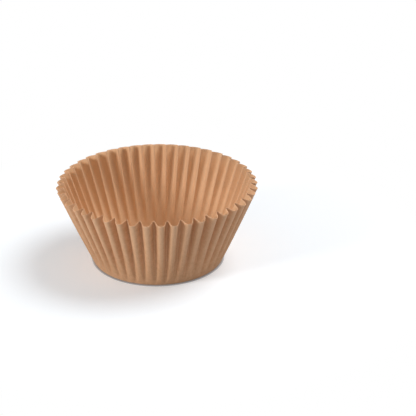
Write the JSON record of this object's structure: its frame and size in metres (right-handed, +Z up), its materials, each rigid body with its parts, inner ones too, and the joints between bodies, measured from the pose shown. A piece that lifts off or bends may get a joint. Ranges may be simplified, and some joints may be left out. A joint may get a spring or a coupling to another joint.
{
  "type": "paper cupcake liner",
  "caption": "Open paper baking cup with a flat round base and a fluted wall that flares to a scalloped rim.",
  "frame": {"origin": "centre of the underside of the base", "axes": "+Z up the axis of the cup, out of its mouth; +X through the tip of one ridge"},
  "size_m": [0.0749, 0.075, 0.0311],
  "materials": {
    "kraft_paper": "matte unbleached"
  },
  "bodies": {
    "root": {"liner": "kraft_paper"}
  },
  "joints": []
}
